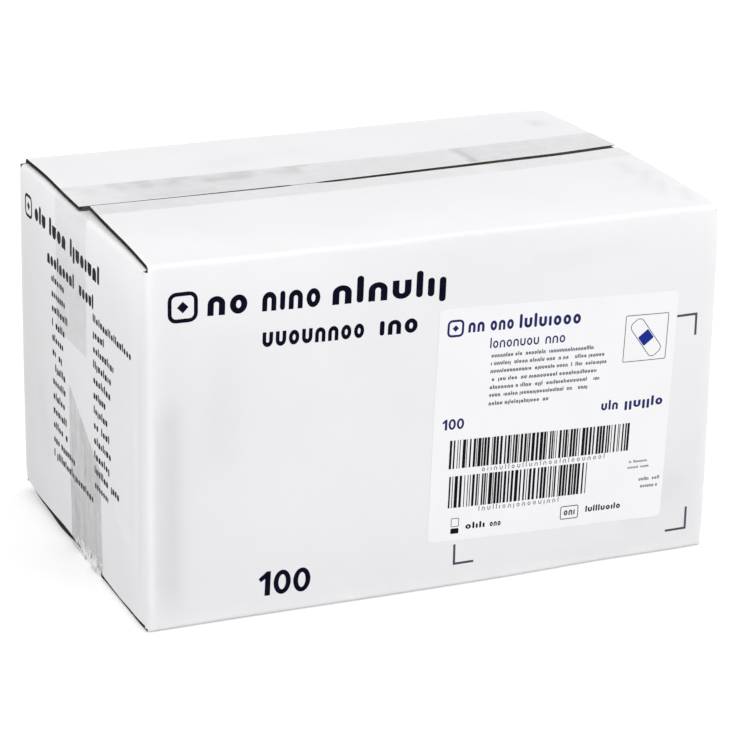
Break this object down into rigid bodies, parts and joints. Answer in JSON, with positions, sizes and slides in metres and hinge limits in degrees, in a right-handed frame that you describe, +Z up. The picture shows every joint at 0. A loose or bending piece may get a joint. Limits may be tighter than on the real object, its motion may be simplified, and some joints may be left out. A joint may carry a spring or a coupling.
{
  "type": "sealed corrugated carton",
  "caption": "Closed shipping carton of white corrugated board, its flaps sealed with clear tape and a paper label on its long side.",
  "frame": {"origin": "on the ground, below the middle of the carton", "axes": "+X along the carton from its left end to its right end, +Y from the labelled long side to the back, +Z up"},
  "size_m": [0.2352, 0.1551, 0.1432],
  "materials": {
    "white_board": "matt white paper face",
    "clear_tape": "clear glossy film",
    "label_paper": "smooth matt paper",
    "printing_ink": "matt printing ink"
  },
  "bodies": {
    "root": {"carton": "white_board", "top_tape_left": "clear_tape", "top_tape_right": "clear_tape", "bottom_tape": "clear_tape", "label": "label_paper"}
  },
  "joints": []
}
